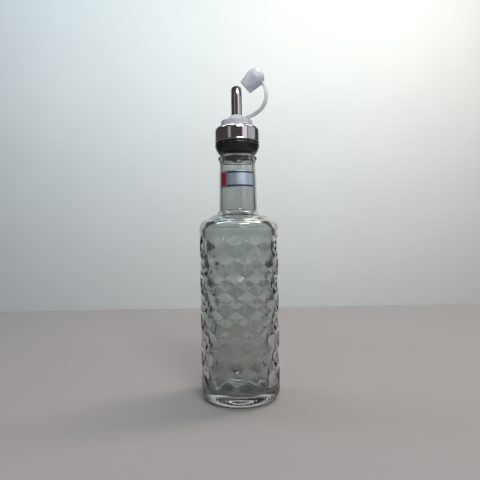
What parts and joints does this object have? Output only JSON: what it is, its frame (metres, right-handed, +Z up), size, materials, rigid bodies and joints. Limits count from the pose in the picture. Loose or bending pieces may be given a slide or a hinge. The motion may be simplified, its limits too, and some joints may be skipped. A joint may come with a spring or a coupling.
{
  "type": "oil bottle",
  "caption": "Clear glass oil bottle with a honeycomb relief, a black stopper with a steel collar and spout, and an open plastic cap on its strap.",
  "frame": {"origin": "centre of the base, on the surface that the bottle stands on", "axes": "+Z up along the bottle's axis, +X towards the open cap, -Y towards the front with the sticker"},
  "size_m": [0.06, 0.06, 0.2504],
  "materials": {
    "glass": "clear pressed glass with a faint green tint",
    "sticker_foil": "thin silver foil with plain printed bands",
    "black_rubber": "satin black",
    "polished_steel": "polished stainless steel",
    "milky_plastic": "translucent, softly glossy"
  },
  "bodies": {
    "root": {"bottle": "glass", "label": "sticker_foil", "stopper": "black_rubber", "collar": "polished_steel", "spout": "polished_steel", "cap": "milky_plastic"}
  },
  "joints": []
}
